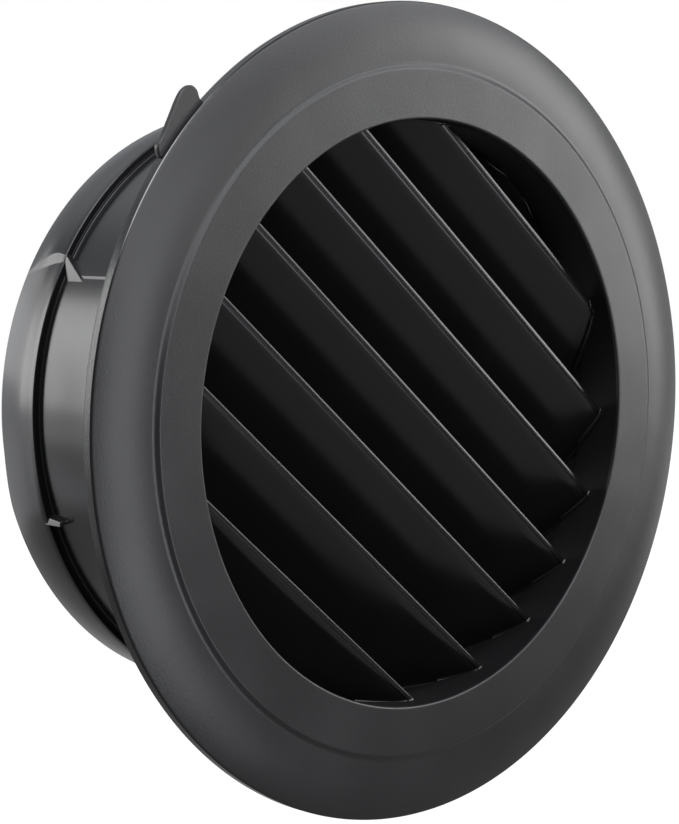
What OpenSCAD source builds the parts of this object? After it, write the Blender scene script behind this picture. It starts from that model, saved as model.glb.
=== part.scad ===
// Round air vent grille for a 150 mm duct, one plastic moulding.
// A flat flange covers the edge of the hole in the wall, eight tilted slats
// cross its opening, and the spigot behind it slides into the duct.
//
// Frame: the origin is on the duct's axis, in the plane where the flange's rim
// touches the wall. The front looks toward -Y, the spigot runs toward +Y, +Z is
// up. Everything is drawn with its axis along Z and its front up, then turned.

/* [Flange] */
// Outer diameter of the flange
flange_d = 190; // [186:1:220]
// Height of the flange's outer edge above the wall
rim_t = 2.7; // [2.2:0.1:4]
// Width of the domed outer ring, from the outer edge to the step
dome_w = 14.25; // [12:0.25:17]
// Height that the domed ring gains from its edge to the step
dome_rise = 2.6; // [1.5:0.1:3.5]
// Width of the sloping step between the two rings
step_w = 1.3; // [1:0.1:2]
// Height of the step
step_rise = 0.75; // [0.5:0.05:1.2]
// Wall thickness of the flange and width of the edge that meets the wall
flange_wall = 2.2; // [1.8:0.1:2.6]

/* [Spigot] */
// Outer diameter of the spigot's neck
neck_d = 141; // [138:0.1:146]
// Wall thickness of the neck
neck_wall = 1.4; // [1.2:0.1:2]
// Length of the neck, from the wall plane to the rear band
neck_len = 49.1; // [40:0.1:60]
// Height of the rear band's plain half above the neck, on the radius
band_rise = 1.7; // [1.2:0.05:2]
// Wall thickness of the rear band
band_wall = 1.9; // [1.7:0.1:2.6]
// Height of the rear band's bead above its plain half, on the radius
bead_rise = 0.6; // [0.3:0.05:0.8]
// Length of the rear band
band_len = 14.6; // [12:0.1:18]
// Length of the rear band's bead
bead_len = 6.1; // [5:0.1:7]
// Distance from the lip to the bead's crest
bead_crest = 1.9; // [1:0.1:2.5]
// Length of the lead-in slope at the rear edge
lead_in = 1; // [0.6:0.1:2]
// Width of the small ledge in front of the rear band
ledge_w = 0.6; // [0.4:0.1:1]
// Height of the small ledge above the neck
ledge_rise = 0.7; // [0.4:0.05:0.9]

/* [Louvre] */
// Number of slats
slat_n = 8; // [5:1:8]
// Distance from one slat to the next across the opening
slat_pitch = 18.52; // [17.5:0.01:20]
// Distance from the axis to the first slat's front edge
slat_first = 78.6; // [76:0.1:80]
// Thickness of a slat
slat_t = 1.2; // [1:0.1:1.6]
// Depth of the louvre, measured along the duct
slat_depth = 17; // [12:0.5:20]
// Tilt of the slats from the duct's axis, in degrees
slat_tilt = 45; // [32:1:46]
// Turn of the slats from level, in degrees, rising to the left
slat_turn = 40; // [0:1:45]
// Distance of the slats' front edges behind the wall plane
slat_back = 0.15; // [0:0.05:2]
// Width of the ring between the opening and the spigot's inside
ring_w = 1; // [0.8:0.05:1.6]
// Draft of that ring: the opening widens by this much on the radius
ring_draft = 0.5; // [0.2:0.05:0.6]
// Distance that the ring reaches behind the wall plane
ring_back = 6.8; // [4:0.1:10]

/* [Seam and latch] */
// Angle of the seam's upper end, counted from the right over the top
seam_a = 149.3; // [140:0.1:160]
// Angle of the latch rib, where the band's lowered sector ends
latch_a = 199.4; // [190:0.1:205]
// Depth of the band's lowered sector, from the seam to the latch rib
recess = 0.6; // [0.4:0.05:0.7]
// Slope of the ramp from the seam down to the lowered sector, in degrees
seam_tilt = 18; // [16:1:25]
// Depth of the fine seam line along the neck
line_depth = 0.3; // [0.2:0.05:0.6]
// Width of the fine seam line
line_w = 0.7; // [0.5:0.05:1.2]
// Length of the latch rib at its full height
latch_len = 5.7; // [4:0.1:8]
// Length of the latch rib's slope down to the neck
latch_slope = 3.7; // [2:0.1:6]
// Thickness of the latch rib
latch_t = 1.4; // [1:0.1:1.8]

/* [Tab] */
// Angle of the tab's tip on the flange's edge
tab_a = 134; // [120:1:150]
// Height of the tab's tip beyond the flange's edge
tab_h = 5.1; // [3:0.1:8]
// Length of the tab along the edge
tab_len = 16.5; // [12:0.5:24]
// Thickness of the tab
tab_t = 1.5; // [1:0.1:2]

/* [Hidden] */
black = [0.15, 0.155, 0.16];
bite = 0.4;
clear = 0.05;
fine = 180;

// flange
flange_r = flange_d / 2;
edge_round = 0.6;
step_out_r = flange_r - dome_w;
step_in_r = step_out_r - step_w;
dome_top = rim_t + dome_rise;
face_z = dome_top + step_rise;
dome_r = (dome_w * dome_w + dome_rise * dome_rise) / (2 * dome_rise);
dome_c = dome_top - dome_r;
edge_z = dome_c + sqrt(pow(dome_r - edge_round, 2) - pow(dome_w - edge_round, 2));
edge_a = atan2(edge_z - dome_c, dome_w - edge_round);
rim_in_r = flange_r - flange_wall;
under_r = dome_r - flange_wall;
under_a = acos((dome_w - flange_wall) / under_r);
mouth_round = 0.5;
crest_round = 0.35;

// spigot
neck_r = neck_d / 2;
neck_in_r = neck_r - neck_wall;
ledge_r = neck_r + ledge_rise;
band_r = neck_r + band_rise;
band_in_r = band_r - band_wall;
bead_r = band_r + bead_rise;
tail_r = band_r - lead_in * 0.45;
tail_z = -neck_len - band_len;
lip_round = 0.3;

// louvre
mouth_r = neck_in_r - ring_w;
ring_r = mouth_r + ring_draft;
slat_bite = 0.9;
slat_run = slat_depth * tan(slat_tilt);
slat_cut = slat_t / cos(slat_tilt);
slat_round = 0.25;

// seam and latch, in degrees and millimetres
deg = PI / 180;
sector_top = bead_r + 1;
ramp_len = 12;
gusset_len = 6.4;
gusset_a = 4.6;
gusset_lean = 1.1;
line_a = 3.4;
latch_back = 0.95;
latch_over = 0.1;

// points of an arc about [cx, cz], from angle a0 to a1 in n steps
function arc(cx, cz, r, a0, a1, n) =
    [for (i = [0:n]) let (a = a0 + (a1 - a0) * i / n) [cx + r * cos(a), cz + r * sin(a)]];

// radius of the bead at distance t behind the lip: it swells a little up to its
// crest, then falls to the band in a half wave
function bead(t) = t < bead_crest
    ? bead_r - 0.14 * pow(1 - t / bead_crest, 2)
    : band_r + bead_rise * pow(cos(90 * (t - bead_crest) / (bead_len - bead_crest)), 2);

// outline of the wall from the flange's edge over the front into the bore,
// back along the inside, round the rear edge and forward along the outside
outline = concat(
    [[flange_r, 0]],
    arc(flange_r - edge_round, edge_z, edge_round, 0, edge_a, 5),
    arc(step_out_r, dome_c, dome_r, edge_a + 0.8, 90, 20),
    arc(step_in_r - 0.1, face_z - crest_round, crest_round, 62, 90, 3),
    arc(mouth_r + mouth_round, face_z - mouth_round, mouth_round, 90, 180, 6),
    [
        [ring_r, -ring_back],
        [neck_in_r, -ring_back],
        [neck_in_r, -neck_len],
        [band_in_r, -neck_len - band_in_r + neck_in_r],
        [band_in_r, tail_z],
        [tail_r, tail_z],
        [band_r, tail_z + lead_in]
    ],
    [for (i = [0:14]) let (t = bead_len - (bead_len - lip_round) * i / 14) [bead(t), -neck_len - t]],
    arc(bead(lip_round) - lip_round, -neck_len - lip_round, lip_round, 20, 90, 3),
    [
        [ledge_r, -neck_len],
        [ledge_r, -neck_len + ledge_w],
        [neck_r, -neck_len + ledge_w],
        [neck_r, face_z - flange_wall],
        [step_in_r, face_z - flange_wall],
        [step_out_r, dome_top - flange_wall]
    ],
    arc(step_out_r, dome_c, under_r, 90, under_a, 20),
    [[rim_in_r, 0]]
);

// the space that the slats fill: they end inside the ring and the neck's wall
module slat_space() {
    cylinder(r = ring_r + slat_bite, h = 2 * ring_back, center = true, $fn = fine);
    translate([0, 0, -slat_depth - slat_back - 1])
        cylinder(r = neck_in_r + slat_bite, h = slat_depth + slat_back + 1 - ring_back + bite, $fn = fine);
}

// one slat along X: its front edge is cut level with the face
module slat(v) {
    section = concat(
        arc(v - slat_round, -slat_back - slat_round, slat_round, 0, 90, 3),
        arc(v - slat_cut + slat_round, -slat_back - slat_round, slat_round, 90, 180, 3),
        [
            [v - slat_cut - slat_run, -slat_back - slat_depth],
            [v - slat_run, -slat_back - slat_depth]
        ]
    );
    rotate([90, 0, 90])
        linear_extrude(height = 2 * neck_r, center = true)
            polygon(section);
}

// all slats, turned about the axis and trimmed to the round opening
module louvre() {
    intersection() {
        rotate([0, 0, -slat_turn])
            for (i = [0:slat_n - 1])
                slat(slat_first - i * slat_pitch);
        slat_space();
    }
}

// places a child on the spigot: X outward at radius r, Y along the circle, Z along the duct
module on_spigot(a, r) {
    rotate([0, 0, a])
        translate([r, 0, 0])
            children();
}

// the band's lowered sector: a ring that follows the band's outline, less the ramp
// that leads down to it from the seam
module lowered_sector() {
    difference() {
        rotate([0, 0, seam_a])
            rotate_extrude(angle = latch_a - seam_a, $fn = fine)
                polygon(concat(
                    [[sector_top, -neck_len + clear], [bead(0) - recess, -neck_len + clear]],
                    [for (i = [0:12]) let (t = bead_len * i / 12) [bead(t) - recess, -neck_len - t]],
                    [
                        [band_r - recess, tail_z + lead_in],
                        [tail_r - recess, tail_z],
                        [tail_r - recess, tail_z - 1],
                        [sector_top, tail_z - 1]
                    ]
                ));
        on_spigot(seam_a, bead_r + clear)
            rotate([0, 0, seam_tilt])
                translate([-ramp_len / 2, -ramp_len / 4, tail_z - 2])
                    cube([ramp_len / 2, ramp_len, band_len + 4]);
    }
}

// the fine seam line along the neck, whose floor slopes down along the circle
module seam_line() {
    on_spigot(seam_a + line_a, neck_r + clear)
        rotate([0, 0, atan2(line_depth, line_w)])
            translate([0, 0, -neck_len + gusset_len - bite])
                cube([2, line_w, neck_len - gusset_len + face_z - flange_wall]);
}

// the three-sided gusset that carries the seam from the lip down to the neck
module gusset() {
    s = gusset_a * deg * neck_r;
    on_spigot(seam_a, neck_r)
        polyhedron(
            points = [
                [band_rise + bead_rise - 0.2, 0, -neck_len - 0.3],
                [-1, -0.8, -neck_len - 0.3],
                [-0.35, s, -neck_len - 0.3],
                [-0.35, s - gusset_lean, -neck_len + gusset_len]
            ],
            faces = [[0, 1, 2], [0, 2, 3], [0, 3, 1], [1, 3, 2]]
        );
}

// the short rib that crosses the ledge where the lowered sector ends; its front
// slopes down to the neck
module latch_rib() {
    z0 = -neck_len - latch_back;
    top = band_rise + bead_rise + latch_over;
    on_spigot(latch_a, neck_r)
        rotate([90, 0, 0])
            linear_extrude(height = latch_t, center = true)
                polygon([
                    [-bite, z0],
                    [top, z0],
                    [top, z0 + latch_len],
                    [0, z0 + latch_len + latch_slope],
                    [-bite, z0 + latch_len + latch_slope]
                ]);
}

// the small tab on the flange's edge, highest near its tip
module tab() {
    rotate([0, 0, tab_a])
        translate([flange_r, 0, 0])
            linear_extrude(height = tab_t)
                offset(r = 0.9, $fn = 24)
                    offset(delta = -0.9)
                        polygon([
                            [-2.5, tab_len - 2.6],
                            [1.3, tab_len - 3.4],
                            [tab_h + 0.1, -0.9],
                            [tab_h - 0.6, -3.2],
                            [-2.5, -3.6]
                        ]);
}

module vent_grille() {
    color(black)
        rotate([90, 0, 0]) {
            difference() {
                rotate_extrude($fn = fine)
                    polygon(outline);
                lowered_sector();
                seam_line();
            }
            gusset();
            latch_rib();
            louvre();
            tab();
        }
}

vent_grille();
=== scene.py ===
"""Round louvred vent grille of black plastic, seen from the front left.

The piece is one moulding. It is drawn here in millimetres with its axis along z and its
front up, then turned to the row's frame: the front looks toward -Y and +Z is up. Angles
about the axis are in degrees, and run from the right over the top as seen in front.
"""
import math
import bpy
import numpy as np
from mathutils import Matrix


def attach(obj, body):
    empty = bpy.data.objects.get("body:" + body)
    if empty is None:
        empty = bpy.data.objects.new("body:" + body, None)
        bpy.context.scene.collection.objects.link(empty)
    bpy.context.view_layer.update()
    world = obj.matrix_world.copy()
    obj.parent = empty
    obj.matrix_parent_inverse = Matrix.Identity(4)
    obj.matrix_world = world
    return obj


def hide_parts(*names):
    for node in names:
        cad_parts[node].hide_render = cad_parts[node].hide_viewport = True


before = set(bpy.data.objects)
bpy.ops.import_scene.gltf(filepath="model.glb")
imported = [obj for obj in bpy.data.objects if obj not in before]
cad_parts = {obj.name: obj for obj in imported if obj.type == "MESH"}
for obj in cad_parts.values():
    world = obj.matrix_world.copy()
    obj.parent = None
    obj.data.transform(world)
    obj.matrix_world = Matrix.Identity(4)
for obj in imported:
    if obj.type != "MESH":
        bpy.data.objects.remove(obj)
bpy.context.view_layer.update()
scene = bpy.context.scene

# Spigot
# The tube behind the flange that slides into the duct: a plain neck, a small ledge and
# a rear band with a bead. A seam of the mould crosses band and neck at the upper left.
# From there to a short latch rib at the lower left the band lies a little lower.
NECK_R = 70.8
NECK_IN_R = 69.1
NECK_LEN = 49.1  # from the rim's back to the band's lip
NECK_FRONT = 4.5  # how far the neck reaches up inside the flange
LEDGE_R = 71.15
LEDGE_W = 0.9
FOOT_OUT, FOOT_IN = 0.15, 0.06  # the slope at the lip's foot, outward from the ledge
SMALL_ROUND = 0.2

BAND_IN_R = 70.3
BAND_LEN = 14.6
BEAD_R = 72.8
BEAD_CREST = 1.9  # behind the lip
BEAD_FALL = 0.14  # how much lower the bead is at the lip
CREST_GAP = 0.2  # from the crest to the next row in front of it
LIP_H = 1.9  # above the neck
LIP_ROUND = 0.3
LIP_BACK = 0.35  # where the lip's rounding ends and the bead starts
TAIL_R = 71.75
TAIL_Z = -NECK_LEN - BAND_LEN
TAIL_IN_ROUND = 0.3

SEAM_ANGLE = 149.3
RAMP_SLOPE = 0.22
# The ramp's upper edge, as [behind the lip, along the circle].
RAMP_EDGE = ((0, 0), (3.3, -0.5), (5.2, -0.25), (10, 1.65), (12.8, 3.4), (14.6, 4.6))
RECESS = 0.6
DEEPEST = 5.0  # behind the lip
LIP_LOSS = 0.45  # share of the recess that is gone at the lip
SECTOR_END_W = 13
SINK = 0.8
SINK_POWER = 1.5
SINK_START, SINK_W = 60, 60

GUSSET_W = 5.66
GUSSET_LEN = 6.2
GUSSET_LEAN = 1.1  # at that length the steep plane meets the neck this far inside GUSSET_W
GUSSET_FLANK = 0.8  # width of the steep plane
GUSSET_END = 8  # beyond its tip

LINE_ANGLE = 3.5  # past the seam
LINE_W = 0.55
LINE_DEPTH = 0.22
LINE_LAP = 0.4  # how far it reaches under the gusset

LATCH_ANGLE = 199.4
LATCH_W = 1.4
LATCH_BACK = 0.95
LATCH_LEN = 4.75
LATCH_NOSE = 3.7
LATCH_PROUD = 0.2  # above the lip
LATCH_LEAN = 0.45
LATCH_CLOSING = 0.29
LATCH_FLANK = 3.6
LATCH_FLANK_AT, LATCH_FLANK_SKEW = 1.25, 0.105

COARSE_STEP, FINE_STEP = 0.75, 0.07
FINE_AT_SEAM, FINE_AT_LATCH = (148.2, 155.2), (197.4, 200.6)  # from one angle to another
FINE_ROWS_Z, ROW_GAP = -39.5, 0.5
STRAIGHT_GAP = 0.05  # from a rounding to the straight stretch beside it

INSIDE_DULL = 1
TINY = 0.01  # margin of a comparison


def to_row(x, y, z):
    """Turns local millimetres to row metres: front (z) goes to -Y, up (y) goes to +Z."""
    return np.stack([x, -z, y], axis=-1) / 1000


def about_axis(angle, radius, z):
    """Points at an angle in degrees: x is radius times its cosine, y is radius times its sine."""
    angle = np.radians(angle)
    return to_row(radius * np.cos(angle), radius * np.sin(angle), z + 0 * angle)


def sheet_mesh(name, points, round_v=False, sharp=32):
    """Makes a mesh from an array of points [u, v]: each neighbouring four become a face.

    The last u joins the first. Where round_v is true the last v joins the first too, and
    otherwise each end is closed by one flat face. The faces are turned so that the
    enclosed volume, the sum of each corner's triple product, is positive.
    """
    nu, nv = points.shape[:2]
    u, v = np.meshgrid(np.arange(nu), np.arange(nv if round_v else nv - 1), indexing="ij")
    next_u, next_v = (u + 1) % nu, (v + 1) % nv
    quads = np.stack([u * nv + v, next_u * nv + v, next_u * nv + next_v, u * nv + next_v], -1)
    quads = quads.reshape(-1, 4)
    places = points.reshape(-1, 3)
    p, q, r, s = (places[quads[:, k]] for k in range(4))
    volume = np.einsum("ij,ij->", p, np.cross(q, r)) + np.einsum("ij,ij->", p, np.cross(r, s))
    faces = quads.tolist()
    if not round_v:
        end = np.arange(nu) * nv
        faces += [end.tolist(), (end + nv - 1)[::-1].tolist()]
    if volume < 0:
        faces = [face[::-1] for face in faces]
    mesh = bpy.data.meshes.new(name)
    mesh.from_pydata(places.tolist(), [], faces)
    mesh.shade_smooth()
    mesh.set_sharp_from_angle(angle=math.radians(sharp))
    piece = bpy.data.objects.new(name, mesh)
    scene.collection.objects.link(piece)
    return piece


def mark_points(piece, name, values):
    """Gives each of the piece's points a number, which its material reads by name."""
    attribute = piece.data.attributes.new(name, "FLOAT", "POINT")
    attribute.data.foreach_set("value", values.astype(np.float32).ravel())


def arc(cr, cz, radius, start, end, n):
    """n points on a circle about [cr, cz] from one angle to another, in degrees."""
    t = np.radians(np.linspace(start, end, n))
    return np.stack([cr + radius * np.cos(t), cz + radius * np.sin(t)], -1)


def line(r0, z0, r1, z1, n=2):
    """n points evenly along a straight line."""
    return np.stack([np.linspace(r0, r1, n), np.linspace(z0, z1, n)], -1)


def eased(x):
    """Goes from 0 to 1 as x does, with a level start and end: three x squared less two x cubed."""
    x = np.clip(x, 0, 1)
    return x * x * (3 - 2 * x)


PLASTIC_IOR = 1.5
PATCH_SIZE = 0.02
PATCH_LEVELS = (0.78, 1.22)
BLUER = 1.04
# Pale grey of a painted highlight along the flange's edge.
HIGHLIGHT_GREY = (0.42, 0.42, 0.43, 1)
SPECULAR, MATT_SPECULAR = 0.5, 0.06
MATT_ROUGHER = 0.4
WAVES_PER_METRE = 35


def add_node(tree, kind, values, feeds):
    """Adds a shader node: values are set on its inputs, and feeds are linked to them."""
    node = tree.nodes.new(kind)
    for socket, value in values.items():
        node.inputs[socket].default_value = value
    for socket, output in feeds.items():
        tree.links.new(output, node.inputs[socket])
    return node


def black_plastic(name, shade, roughness, uneven, grain, depth, wave):
    """Black moulded plastic, plain on the shader's own sockets.

    In slow patches its colour drifts between two near blacks about shade, and its
    roughness by uneven. A fine grain of the given size stands up by depth, and the wall
    as a whole is out of true by wave, as a thin moulding is after it has cooled. Where a
    piece's own mark matt is 1 it is dull, as in a corner that the mould's polish doesn't
    reach, and below 0 it is smoother. Where its highlight mark is 1, a pale grey is
    painted into the colour as a highlight. Lengths are in metres.
    """
    material = bpy.data.materials.new(name)
    material.use_nodes = True
    tree = material.node_tree
    shader = tree.nodes["Principled BSDF"]
    shader.inputs["IOR"].default_value = PLASTIC_IOR
    place = tree.nodes.new("ShaderNodeTexCoord").outputs["Object"]
    matt = tree.nodes.new("ShaderNodeAttribute")
    matt.attribute_name = "matt"
    painted_highlight = tree.nodes.new("ShaderNodeAttribute")
    painted_highlight.attribute_name = "painted_highlight"

    patches = add_node(tree, "ShaderNodeTexNoise", {"Scale": 1 / PATCH_SIZE, "Detail": 4},
                       {"Vector": place})
    tint = add_node(tree, "ShaderNodeValToRGB", {}, {"Fac": patches.outputs["Fac"]})
    for stop, level in zip(tint.color_ramp.elements, PATCH_LEVELS):
        stop.color = (level * shade, level * shade, level * shade * BLUER, 1)
    # Painted highlight: pale grey is mixed into the colour where the highlight mark is 1.
    paler = add_node(tree, "ShaderNodeMixRGB", {"Color2": HIGHLIGHT_GREY},
                     {"Fac": painted_highlight.outputs["Fac"], "Color1": tint.outputs["Color"]})
    tree.links.new(paler.outputs["Color"], shader.inputs["Base Color"])

    gloss = add_node(tree, "ShaderNodeMapRange",
                     {"To Min": roughness - uneven, "To Max": roughness + uneven},
                     {"Value": patches.outputs["Fac"]})
    rougher = add_node(tree, "ShaderNodeMath", {1: MATT_ROUGHER},
                       {0: matt.outputs["Fac"], 2: gloss.outputs["Result"]})
    rougher.operation = "MULTIPLY_ADD"
    tree.links.new(rougher.outputs["Value"], shader.inputs["Roughness"])
    sheen = add_node(tree, "ShaderNodeMapRange", {"To Min": SPECULAR, "To Max": MATT_SPECULAR},
                     {"Value": matt.outputs["Fac"]})
    tree.links.new(sheen.outputs["Result"], shader.inputs["Specular IOR Level"])

    sway = add_node(tree, "ShaderNodeTexNoise", {"Scale": WAVES_PER_METRE, "Detail": 1},
                    {"Vector": place})
    hollows = add_node(tree, "ShaderNodeBump", {"Strength": 1, "Distance": wave},
                       {"Height": sway.outputs["Fac"]})
    skin = add_node(tree, "ShaderNodeTexNoise", {"Scale": 1 / grain, "Detail": 3}, {"Vector": place})
    bump = add_node(tree, "ShaderNodeBump", {"Strength": 1, "Distance": depth},
                    {"Height": skin.outputs["Fac"], "Normal": hollows.outputs["Normal"]})
    tree.links.new(bump.outputs["Normal"], shader.inputs["Normal"])
    return material


def finish_piece(piece, material):
    """Gives the piece its finish and fixes it to the moulding."""
    piece.data.materials.append(material)
    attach(piece, "root")


def lowered(angle, behind, radius):
    """The band's flatter sector, reached by a ramp that falls along the circle from the seam.

    It lies deepest, by RECESS, at DEEPEST behind the lip, and its depth fades with the
    square of the distance from there. The ramp keeps one slope, and its upper edge dips
    where the bead stands high and runs down toward the rear edge. The sector rises back
    to the full band before the latch. From the top of the spigot to the latch the band
    also tapers by SINK more toward its rear edge.
    """
    along = np.radians(angle - SEAM_ANGLE) * BEAD_R
    off = behind - DEEPEST
    toward_rear = off / (BAND_LEN - DEEPEST)
    depth = RECESS * (1 - np.where(off > 0, toward_rear ** 2, LIP_LOSS * (off / DEEPEST) ** 2))
    ramp = RAMP_SLOPE * (along - np.interp(behind, *zip(*RAMP_EDGE)))
    sink = SINK * np.clip(toward_rear, 0, 1) ** SINK_POWER * eased((angle - SINK_START) / SINK_W)
    drop = (np.clip(ramp, 0, depth) + sink) * eased((LATCH_ANGLE - angle) / SECTOR_END_W)
    return np.where((behind > -TINY) & (behind < BAND_LEN), radius - drop, radius)


def gusset(angle, behind, radius):
    """Three-sided gusset in front of the lip: the lower of two planes above the neck.

    The wide plane carries the seam's ramp on to the neck: it falls along the circle to
    nothing at GUSSET_W. The steep one is the flank on the seam's upper side, and its
    ridge runs down to the neck as it moves away from the lip.
    """
    along = np.radians(angle - SEAM_ANGLE) * NECK_R
    ahead = np.clip(-behind, 0, None)
    wide = LIP_H * (1 - along / GUSSET_W)
    ridge = 1 + (GUSSET_W - GUSSET_LEAN) / GUSSET_FLANK
    steep = LIP_H * (1 + along / GUSSET_FLANK - ridge * ahead / GUSSET_LEN)
    here = (behind <= LIP_BACK) & (behind > -GUSSET_END)
    return np.where(here, np.maximum(radius, NECK_R + np.minimum(wide, steep)), radius)


def latch_rib(angle, behind, radius):
    """Short rib across the ledge, on the lowered sector's end.

    Its top leans toward the seam, its upper side is a steep plane, and in front it
    slopes down to the neck while its lower side closes in on the upper one.
    """
    along = np.radians(angle - LATCH_ANGLE) * BEAD_R
    past = np.clip(-behind - LATCH_LEN, 0, None)
    nose = np.clip(1 - past / LATCH_NOSE, 0, 1)
    top = (LIP_H + LATCH_PROUD) * nose - LATCH_LEAN * (LATCH_W / 2 - along)
    flank = LATCH_FLANK * (along + LATCH_FLANK_AT + LATCH_FLANK_SKEW * behind)
    here = (behind < LATCH_BACK) & (behind > -LATCH_LEN - LATCH_NOSE)
    here &= along < LATCH_W / 2 - LATCH_CLOSING * past
    return np.where(here, np.maximum(radius, NECK_R + np.minimum(top, flank)), radius)


def seam_line(angle, behind, radius):
    """The fine line along the neck: a ramp that falls along the circle and ends in an edge."""
    along = np.radians(angle - SEAM_ANGLE - LINE_ANGLE) * NECK_R
    here = (behind < -GUSSET_LEN + LINE_LAP) & (along > 0) & (along < LINE_W)
    return np.where(here, radius - LINE_DEPTH * along / LINE_W, radius)


# The barrel and the bead's front both fall from the crest with the square of the distance.
barrel_t = np.linspace(BAND_LEN - SMALL_ROUND, BEAD_CREST, 40)
barrel_r = BEAD_R - (BEAD_R - TAIL_R) * ((barrel_t - BEAD_CREST) / (BAND_LEN - BEAD_CREST)) ** 2
front_t = np.linspace(BEAD_CREST - CREST_GAP, LIP_BACK, 6)
front_r = BEAD_R - BEAD_FALL * (1 - front_t / BEAD_CREST) ** 2
lip_z = -NECK_LEN
ledge_z = lip_z + LEDGE_W
outside = np.concatenate([
    arc(TAIL_R - SMALL_ROUND, TAIL_Z + SMALL_ROUND, SMALL_ROUND, -80, -5, 5),
    np.stack([barrel_r, lip_z - barrel_t], -1),
    np.stack([front_r, lip_z - front_t], -1),
    arc(front_r[-1] - LIP_ROUND, lip_z - LIP_ROUND, LIP_ROUND, 10, 90, 5),
    line(LEDGE_R + FOOT_OUT, lip_z, LEDGE_R + FOOT_IN, lip_z + FOOT_OUT - FOOT_IN),
    arc(LEDGE_R - SMALL_ROUND, ledge_z - SMALL_ROUND, SMALL_ROUND, 0, 90, 4),
    line(NECK_R, ledge_z + STRAIGHT_GAP, NECK_R, FINE_ROWS_Z, 38),
    line(NECK_R, FINE_ROWS_Z + ROW_GAP, NECK_R, NECK_FRONT, 14),
])
inside = np.concatenate([
    line(NECK_IN_R, NECK_FRONT, NECK_IN_R, lip_z, 6),
    line(BAND_IN_R, lip_z + NECK_IN_R - BAND_IN_R, BAND_IN_R, TAIL_Z + TAIL_IN_ROUND, 4),
    arc(BAND_IN_R + TAIL_IN_ROUND, TAIL_Z + TAIL_IN_ROUND, TAIL_IN_ROUND, 180, 270, 4),
])
angles = np.unique(np.round(np.concatenate([
    np.arange(0, 360, COARSE_STEP),
    np.arange(*FINE_AT_SEAM, FINE_STEP),
    np.arange(*FINE_AT_LATCH, FINE_STEP)]), 3))
angle, z = np.meshgrid(angles, outside[:, 1], indexing="ij")
out_r = np.broadcast_to(outside[:, 0], angle.shape)
for feature in (lowered, seam_line, gusset, latch_rib):
    out_r = feature(angle, lip_z - z, out_r)
in_r = np.broadcast_to(inside[:, 0], (len(angles), len(inside)))
wall_z = np.concatenate([outside[:, 1], inside[:, 1]])
wall = about_axis(angles[:, None], np.concatenate([out_r, in_r], 1), wall_z)
spigot = sheet_mesh("spigot", wall, round_v=True)
in_corner = np.isclose(z, lip_z) & (out_r < outside[:, 0] + TINY)
mark_points(spigot, "matt", np.concatenate([in_corner, np.full(in_r.shape, INSIDE_DULL)], 1))
spigot_plastic = black_plastic(
    "spigot_plastic", shade=0.0102, roughness=0.22, uneven=0.04,
    grain=0.0012, depth=0.000004, wave=0.0003)
finish_piece(spigot, spigot_plastic)
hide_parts("vent_grille")

# Flange with its ring
# The wide plate that covers the edge of the hole, with a ring in its mouth for the slats.
# It is hollow behind, has a fine matt grain in front, and is moulded in one shot with the
# spigot. Its rim is smoother and the ring's inside duller, and along one stretch of the
# edge a painted highlight in pale grey is laid into the colour.
FLANGE_R = 95.0
RIM_T = 2.7
WALL = 2.2
EDGE_ROUND = 0.6
DOME_W = 14.25
DOME_RISE = 2.6
STEP_W = 1.3
STEP_RISE = 0.75
STEP_ROUND = 0.5
STEP_FOOT = (0.15, 0.02)  # where the step's slope starts, in from its outer edge and up
STEP_HEAD = (0.25, 0.14)  # where it ends, out from its inner edge and down
STEP_ROUND_IN = 0.15
FACE_FROM, FACE_TO = 0.55, 0.3  # the flat face's ends, from the step and from the mouth's rounding
MOUTH_R = 68.1
MOUTH_ROUND = 0.5
RING_R = 68.6
RING_BACK = 6.8
RING_ROOT = 0.6  # how far the ring's outer side lies inside the neck's
RING_DRAFT = 0.04  # how much wider the ring is than the mouth where it starts
RING_TOP = 1  # below the face
RING_STEP = 0.5
UNDER_GAP = 0.2
HOLLOW_EDGE = 0.9  # height of the rim's inner side
TURN_STEP = 0.5
RIM_POLISH = -0.25
POLISH_FROM = 0.3  # above the rim's back
RING_DEPTH = 0.9  # where the ring's dull inside starts, below the face
# Width of the painted edge highlight, and the angles where it grows in and fades out.
HIGHLIGHT_W = 0.1
HIGHLIGHT_START, HIGHLIGHT_GROWS = 125, 22
HIGHLIGHT_END, HIGHLIGHT_FADES = 158, 9

step_out = FLANGE_R - DOME_W
step_in = step_out - STEP_W
dome_top = RIM_T + DOME_RISE
face_z = dome_top + STEP_RISE
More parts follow.
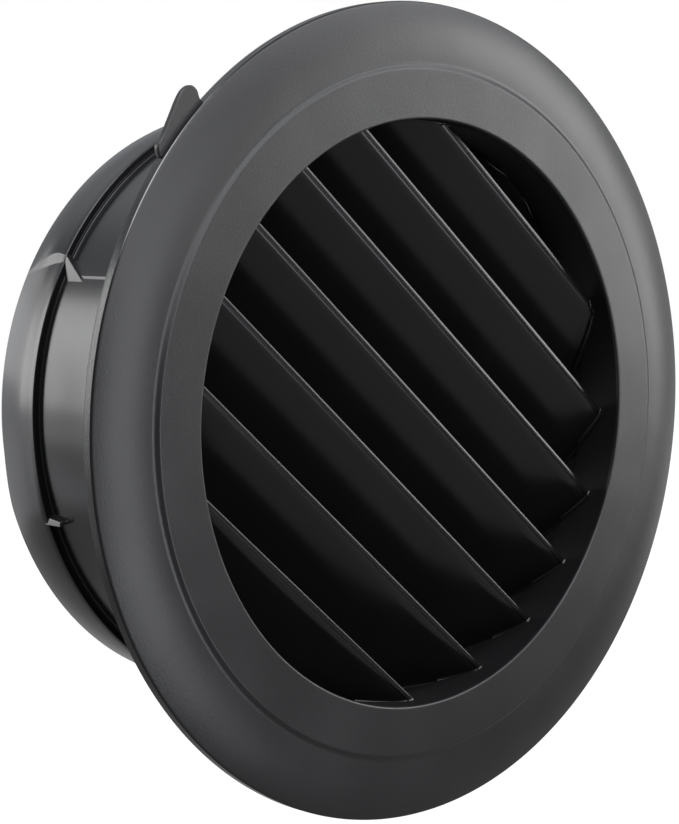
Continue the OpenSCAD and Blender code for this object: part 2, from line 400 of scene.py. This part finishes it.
# A dome of width w and rise h is a circle of radius (w squared + h squared) over two h.
dome_r = (DOME_W ** 2 + DOME_RISE ** 2) / (2 * DOME_RISE)
dome_c = dome_top - dome_r
edge_z = dome_c + math.sqrt((dome_r - EDGE_ROUND) ** 2 - (DOME_W - EDGE_ROUND) ** 2)
edge_angle = math.degrees(math.atan2(edge_z - dome_c, DOME_W - EDGE_ROUND))
under_angle = math.degrees(math.acos((DOME_W - WALL) / (dome_r - WALL)))
root_r = NECK_R - RING_ROOT
flange_outline = np.concatenate([
    # The rim from its flat back to its rounded edge, then the dome.
    line(FLANGE_R - WALL + SMALL_ROUND, 0, FLANGE_R - SMALL_ROUND, 0, 3),
    line(FLANGE_R, SMALL_ROUND, FLANGE_R, edge_z - STRAIGHT_GAP, 3),
    arc(FLANGE_R - EDGE_ROUND, edge_z, EDGE_ROUND, 4, edge_angle, 7),
    arc(step_out, dome_c, dome_r, edge_angle + 0.5, 89.4, 34),
    # The step, the flat face and the mouth.
    line(step_out - STEP_FOOT[0], dome_top + STEP_FOOT[1],
         step_in + STEP_HEAD[0], face_z - STEP_HEAD[1], 3),
    arc(step_in - STEP_ROUND_IN, face_z - STEP_ROUND, STEP_ROUND, 62, 90, 5),
    line(step_in - FACE_FROM, face_z, MOUTH_R + MOUTH_ROUND + FACE_TO, face_z, 10),
    arc(MOUTH_R + MOUTH_ROUND, face_z - MOUTH_ROUND, MOUTH_ROUND, 90, 180, 8),
    # The ring, down its inside and back up its outer side.
    line(MOUTH_R + RING_DRAFT, face_z - RING_TOP, RING_R, -RING_BACK + SMALL_ROUND, 6),
    line(RING_R + SMALL_ROUND, -RING_BACK, root_r, -RING_BACK, 3),
    line(root_r, -RING_BACK + RING_STEP, root_r, face_z - WALL, 3),
    # The hollow behind the face and the dome.
    line(NECK_R, face_z - WALL, step_in, face_z - WALL, 3),
    line(step_out, dome_top - WALL, step_out + UNDER_GAP, dome_top - WALL, 2),
    arc(step_out, dome_c, dome_r - WALL, 89, under_angle, 20),
    line(FLANGE_R - WALL, HOLLOW_EDGE, FLANGE_R - WALL, SMALL_ROUND, 2),
])
turn = np.arange(0, 360, TURN_STEP)[:, None]
r, z = flange_outline[:, 0], flange_outline[:, 1]
flange = sheet_mesh("flange", about_axis(turn, r, z), round_v=True, sharp=40)
on_rim = (r > FLANGE_R - TINY) & (z > POLISH_FROM)
in_ring = (r < RING_R + TINY) & (z < face_z - RING_DEPTH)
dull = np.where(in_ring, INSIDE_DULL, np.where(on_rim, RIM_POLISH, 0))
mark_points(flange, "matt", dull + 0 * turn)
# Painted highlight: pale grey on the edge's rounding from about 125 to 158 degrees, standing in for a
# glint.
at_edge = (r > FLANGE_R - HIGHLIGHT_W) & (r < FLANGE_R - TINY) & (z > RIM_T / 2)
highlight_share = eased((turn - HIGHLIGHT_START) / HIGHLIGHT_GROWS) * eased((HIGHLIGHT_END - turn) / HIGHLIGHT_FADES)
mark_points(flange, "painted_highlight", at_edge * highlight_share)
flange_plastic = black_plastic(
    "flange_plastic", shade=0.0102, roughness=0.32, uneven=0.05,
    grain=0.0004, depth=0.000032, wave=0.0003)
finish_piece(flange, flange_plastic)

# Slats
# Flat plates that cross the opening at a slant and lean back toward the lower left, so
# that rain runs out and nobody looks in. Their front edges are cut level with the face,
# their ends run into the ring with a small fillet, and they are smoother than the flange.
SLAT_N = 8
SLAT_FIRST = 78.6  # the first slat's upper edge, from the middle across the slats
SLAT_PITCH = 18.52
SLAT_TURN = 40
SLAT_TILT = 45
SLAT_T = 0.95
SLAT_DEPTH = 17.0
SLAT_BACK = 0.15
SLAT_FRONT_ROUND = 0.25
SLAT_WALL_R = MOUTH_R + 0.4  # the ring's wall, where the slats meet it
FILLET = 0.8
WALL_BITE = 0.5  # how deep in the wall a cut slat starts
PLAIN_FROM = 3  # in from the wall
PLAIN_STATIONS = 19
HIDDEN_DULL = 0.8
FACING_BACK = 0.6  # least lean of the normals across the slats on the side that faces back
# Rows are shares of the depth, with two of them close to the ring's rear edge. Stations
# are distances in from the wall, and the first lies inside it.
SLAT_ROWS = np.concatenate([np.linspace(0.03, 0.38, 6), [0.388, 0.394], np.linspace(0.41, 0.99, 7)])
SLAT_STATIONS = np.array([-0.9, 0, 0.04, 0.1, 0.18, 0.3, 0.45, 0.62, 0.8, 1.2])
tilt = math.radians(SLAT_TILT)
cut = SLAT_T / math.cos(tilt)
run = SLAT_DEPTH * math.tan(tilt)


def slat_section(start):
    """Closed outline of a slat across its length, as [across, along the duct] and its normals.

    It goes round the rounded front edge, back along the upper side, round the rear
    edge and forward along the lower side. A slat whose front edge lies outside the
    wall starts inside the wall's thickness instead.
    """
    rear_z = -SLAT_BACK - SLAT_DEPTH
    sides = []
    for edge in (start, start - cut):
        cut_off = max(0.0, (edge - NECK_IN_R - WALL_BITE) / run)
        share = cut_off + (1 - cut_off) * SLAT_ROWS
        sides.append(np.stack([edge - run * share, -SLAT_BACK - SLAT_DEPTH * share], -1))
    rear = np.array([[start - run, rear_z], [start - cut - run, rear_z]])
    points = np.concatenate([sides[0], rear, sides[1][::-1]])
    if start <= NECK_IN_R + WALL_BITE:
        front = arc(start - SLAT_FRONT_ROUND, -SLAT_BACK - SLAT_FRONT_ROUND, SLAT_FRONT_ROUND, 90, 15, 4)
        corner = arc(start - cut + SMALL_ROUND, -SLAT_BACK - SMALL_ROUND, SMALL_ROUND, 215, 90, 5)
        points = np.concatenate([front, points, corner])
    ahead = np.roll(points, -1, 0) - np.roll(points, 1, 0)
    normal = np.stack([-ahead[:, 1], ahead[:, 0]], -1)
    return points, normal / np.linalg.norm(normal, axis=1)[:, None]


def slat_points(start):
    """A slat's surface and its dullness: the section at stations counted in from the wall.

    The wall stands sqrt(R squared - across squared) from the middle, with R the ring's
    radius in front and the neck's behind it. Near the wall the section swells along its
    normal by a quarter circle, which is the fillet. The side that faces back is duller,
    because only the side that shows was polished in the mould.
    """
    section, normal = slat_section(start)
    left = FILLET - SLAT_STATIONS
    in_fillet = (SLAT_STATIONS >= 0) & (left > 0)
    swell = np.where(in_fillet, FILLET - np.sqrt(np.clip(FILLET ** 2 - left ** 2, 0, None)), 0)
    swell[0] = FILLET
    wall_r = np.where(section[:, 1] > -RING_BACK, SLAT_WALL_R, NECK_IN_R)
    wall = np.sqrt(np.clip(wall_r ** 2 - section[:, 0] ** 2, TINY, None))[:, None]
    middle = np.linspace(-1, 1, PLAIN_STATIONS + 2)[1:-1]
    one_end, other_end = SLAT_STATIONS - wall, (wall - SLAT_STATIONS)[:, ::-1]
    length = np.concatenate([one_end, (wall - PLAIN_FROM) * middle, other_end], 1)
    grow = np.concatenate([swell, 0 * middle, swell[::-1]])
    across = section[:, :1] + normal[:, :1] * grow
    along_duct = section[:, 1:] + normal[:, 1:] * grow
    c, s = math.cos(math.radians(SLAT_TURN)), math.sin(math.radians(SLAT_TURN))
    dull = HIDDEN_DULL * (normal[:, :1] > FACING_BACK) + 0 * length
    return to_row(c * length + s * across, -s * length + c * across, along_duct), dull


# Painted shade: the slats are the same plastic as the flange, but their colour is painted darker (shade
# 0.006 against 0.0102) to stand in for the shade between them.
slat_plastic_painted_darker = black_plastic(
    "slat_plastic_painted_darker", shade=0.006, roughness=0.2, uneven=0.03,
    grain=0.0015, depth=0.000003, wave=0.0001)
for k in range(SLAT_N):
    points, dull = slat_points(SLAT_FIRST - SLAT_PITCH * k)
    slat = sheet_mesh(f"slat_{k + 1}", points)
    mark_points(slat, "matt", dull)
    finish_piece(slat, slat_plastic_painted_darker)

# Tab
# A small flat tab on the flange's edge at the upper left, where the moulding was gated
# or gripped: a long low rise, highest near its tip, with every corner rounded.
TAB_ANGLE = 134
TAB_T = 1.5
TAB_ROUND = 0.25
# Corners of its outline as [along the rim, out from the flange's edge].
TAB_CORNERS = np.array([
    [-13.2, -1.5], [-12.4, 1.2], [-9.7, 1.9], [-5.2, 3.4], [-1.4, 4.7], [1.2, 5.1], [3.2, 4.4],
    [3.7, 2.6], [3.0, 0.7], [3.1, -1.5], [-2, -1.7], [-8, -1.7]])


def smooth_ring(corners, steps):
    """A closed Catmull-Rom curve through the corners, with steps points per side.

    At share t of a side it is the corner, plus t times half the way from the corner
    before to the one after, plus t squared and t cubed times half of bend and twist.
    """
    t = np.linspace(0, 1, steps, endpoint=False)[None, :, None]
    before, here, after, next_one = (np.roll(corners, k, 0)[:, None, :] for k in (1, 0, -1, -2))
    bend = 2 * before - 5 * here + 4 * after - next_one
    twist = 3 * here - before - 3 * after + next_one
    curve = here + t * (after - before) / 2 + t ** 2 * bend / 2 + t ** 3 * twist / 2
    return curve.reshape(-1, 2)


rim_line = smooth_ring(TAB_CORNERS, 6)
ahead = np.roll(rim_line, -1, 0) - np.roll(rim_line, 1, 0)
inward = np.stack([ahead[:, 1], -ahead[:, 0]], -1)
inward /= np.linalg.norm(inward, axis=1)[:, None]
tab_side = np.concatenate([
    arc(0, TAB_ROUND, TAB_ROUND, -90, 0, 4),
    arc(0, TAB_T - TAB_ROUND, TAB_ROUND, 0, 90, 4)])
inset = TAB_ROUND - tab_side[:, 0]
along_rim = rim_line[:, None, 0] + inward[:, None, 0] * inset
outward = FLANGE_R + rim_line[:, None, 1] + inward[:, None, 1] * inset
c, s = math.cos(math.radians(TAB_ANGLE)), math.sin(math.radians(TAB_ANGLE))
height = tab_side[:, 1] + 0 * outward
tab_points = to_row(c * outward + s * along_rim, s * outward - c * along_rim, height)
tab = sheet_mesh("tab", tab_points, sharp=50)
finish_piece(tab, flange_plastic)

# Floor, light and camera
# A pale studio, white to the camera. In the part's gloss the air is bright behind and
# above and dim in front, and the floor is dim in front and under the part and brighter
# beyond it. Near the part the floor glows a little less, because the lights add to it.
FLOOR_HALF = 4
FLOOR_Z = -0.5
FLOOR_GREY = (0.12, 0.12, 0.12, 1)
FLOOR_ROUGHNESS = 0.9
BEYOND = (0.6, 0.8, 0)  # away from the camera
BEYOND_GLOW = (0.2, 0.9, 0.055, 0.36)  # how far that way the glow grows, and from what to what
WHITENING = (0.8, 1.8, 0.9, 1)  # how far out the camera's floor whitens, and from what to what
WHITE = (1, 1, 1, 1)
AIR_TINT = (0.92, 0.95, 1)
AIR_UP_AND_BACK = (0, 0.72, 0.69)
AIR_GLOW = ((0.45, 0.06), (0.72, 0.42), (0.95, 0.5), (0.99, 0.85))  # share of that way, glow


def between(start, end, low, high):
    """Inputs of a map that goes evenly from low at start to high at end."""
    return {"From Min": start, "From Max": end, "To Min": low, "To Max": high}


floor_mesh = bpy.data.meshes.new("floor")
floor_corners = [(-1, -1), (1, -1), (1, 1), (-1, 1)]
floor_mesh.from_pydata(
    [(FLOOR_HALF * x, FLOOR_HALF * y, FLOOR_Z) for x, y in floor_corners], [], [(0, 1, 2, 3)])
floor = bpy.data.objects.new("floor", floor_mesh)
scene.collection.objects.link(floor)
floor_paint = bpy.data.materials.new("floor_paint")
floor_paint.use_nodes = True
tree = floor_paint.node_tree
paint = tree.nodes["Principled BSDF"]
paint.inputs["Base Color"].default_value = FLOOR_GREY
paint.inputs["Roughness"].default_value = FLOOR_ROUGHNESS
paint.inputs["Emission Color"].default_value = WHITE
ray = tree.nodes.new("ShaderNodeLightPath")
place = tree.nodes.new("ShaderNodeTexCoord").outputs["Object"]
away = add_node(tree, "ShaderNodeVectorMath", {1: BEYOND}, {0: place})
away.operation = "DOT_PRODUCT"
beyond_glow = add_node(tree, "ShaderNodeMapRange", between(*BEYOND_GLOW),
                       {"Value": away.outputs["Value"]})
in_gloss = add_node(tree, "ShaderNodeMath", {},
                    {0: beyond_glow.outputs["Result"], 1: ray.outputs["Is Glossy Ray"]})
in_gloss.operation = "MULTIPLY"
reach = add_node(tree, "ShaderNodeVectorMath", {}, {0: place})
reach.operation = "LENGTH"
whiten = add_node(tree, "ShaderNodeMapRange", between(*WHITENING),
                  {"Value": reach.outputs["Value"]})
lift = add_node(tree, "ShaderNodeMapRange", {},
                {"Value": ray.outputs["Is Camera Ray"],
                 "To Min": in_gloss.outputs["Value"], "To Max": whiten.outputs["Result"]})
tree.links.new(lift.outputs["Result"], paint.inputs["Emission Strength"])
floor.data.materials.append(floor_paint)

world = bpy.data.worlds.new("studio")
scene.world = world
world.use_nodes = True
tree = world.node_tree
air = tree.nodes["Background"]
air.inputs["Strength"].default_value = 1
ray = tree.nodes.new("ShaderNodeLightPath")
heading = tree.nodes.new("ShaderNodeTexCoord").outputs["Generated"]
rearward = add_node(tree, "ShaderNodeVectorMath", {1: AIR_UP_AND_BACK}, {0: heading})
rearward.operation = "DOT_PRODUCT"
glow = add_node(tree, "ShaderNodeValToRGB", {}, {"Fac": rearward.outputs["Value"]})
stops = glow.color_ramp.elements
for position, value in AIR_GLOW[1:-1]:
    stops.new(position)
for stop, (position, value) in zip(stops, AIR_GLOW):
    stop.position = position
    stop.color = (*(channel * value for channel in AIR_TINT), 1)
seen = add_node(tree, "ShaderNodeMixRGB", {"Color2": WHITE},
                {"Fac": ray.outputs["Is Camera Ray"], "Color1": glow.outputs["Color"]})
tree.links.new(seen.outputs["Color"], air.inputs["Color"])


def direction(turn, rise):
    """The way out from the part, turned to the right of the front and raised, in degrees.

    It is sin turn cos rise to the right, cos turn cos rise to the front and sin rise up.
    """
    turn, rise = math.radians(turn), math.radians(rise)
    return np.array([math.sin(turn) * math.cos(rise), -math.cos(turn) * math.cos(rise), math.sin(rise)])


def looking_back(toward, at):
    """The placing of what stands upright at a point and looks back along a direction.

    Its right is the vertical crossed with that direction, and its top is the direction
    crossed with its right.
    """
    right = np.cross((0, 0, 1), toward)
    right /= np.linalg.norm(right)
    up = np.cross(toward, right)
    return Matrix([[right[i], up[i], toward[i], at[i]] for i in range(3)] + [[0, 0, 0, 1]])


def soft_light(name, turn, rise, distance, wide, high, radiance, tint, start=(0, 0, 0)):
    """A flat light of an even radiance that faces the point start.

    It stands at the given distance, turned to the right of the front and raised, and
    spans wide and high, all in degrees. Its power is radiance times pi times its area.
    """
    toward = direction(turn, rise)
    data = bpy.data.lights.new(name, "AREA")
    data.shape = "RECTANGLE"
    data.size = 2 * distance * math.tan(math.radians(wide / 2))
    data.size_y = 2 * distance * math.tan(math.radians(high / 2))
    data.energy = radiance * math.pi * data.size * data.size_y
    data.color = tint
    light = bpy.data.objects.new(name, data)
    light.matrix_world = looking_back(toward, np.array(start) + distance * toward)
    scene.collection.objects.link(light)


DAYLIGHT, NEUTRAL = (0.945, 0.955, 1), (1, 1, 1)
FLANGE_LEFT, SPIGOT_LEFT = (-0.08, 0, 0), (-0.07, 0.03, 0.01)
# Turn, rise, distance, width, height and radiance of the lights in front and above, which
# show on the flange and the slats, and then of those at the rear left, for the spigot.
soft_light("light_right", 57.5, 10, 1.3, 20, 31, 6.0, NEUTRAL)
soft_light("light_right_soft", 38, 18, 1.3, 16, 28, 1.35, NEUTRAL)
soft_light("light_front", 14, -6, 0.85, 27, 54, 3.0, DAYLIGHT, start=FLANGE_LEFT)
soft_light("light_front_left", -13, 24, 1.3, 24, 24, 3.0, DAYLIGHT)
soft_light("light_top", 30, 39, 1.3, 60, 24, 1.8, DAYLIGHT)
soft_light("light_step", 20, 49.5, 1.3, 84, 13, 3.6, DAYLIGHT)
soft_light("light_step_right", 82, 31, 1.3, 20, 15, 1.0, DAYLIGHT)
soft_light("light_side", 93, 2, 1.3, 40, 36, 0.7, NEUTRAL)
soft_light("light_overhead", -80, 60, 1.0, 70, 36, 3.6, DAYLIGHT)
soft_light("light_left", -146.5, 10.5, 2.5, 13, 27, 5.0, NEUTRAL, start=SPIGOT_LEFT)
soft_light("light_left_back", -165, 13, 2.5, 26, 22, 1.5, NEUTRAL, start=SPIGOT_LEFT)
soft_light("light_left_low", -144, -7, 2.5, 10, 8, 1.5, NEUTRAL, start=SPIGOT_LEFT)
soft_light("light_left_wide", -163, -6, 1.1, 34, 46, 0.75, DAYLIGHT, start=SPIGOT_LEFT)

CAMERA_AT = (-0.3797, -0.3820, 0.0488)
CAMERA_TURN, CAMERA_RISE = -43.069, 5.151
CAMERA_LENS, CAMERA_SENSOR = 101.0, 36
camera_data = bpy.data.cameras.new("camera")
camera_data.lens = CAMERA_LENS
camera_data.sensor_width = CAMERA_SENSOR
camera = bpy.data.objects.new("camera", camera_data)
camera.matrix_world = looking_back(direction(CAMERA_TURN, CAMERA_RISE), CAMERA_AT)
scene.collection.objects.link(camera)
scene.camera = camera
scene.view_settings.view_transform = "Standard"
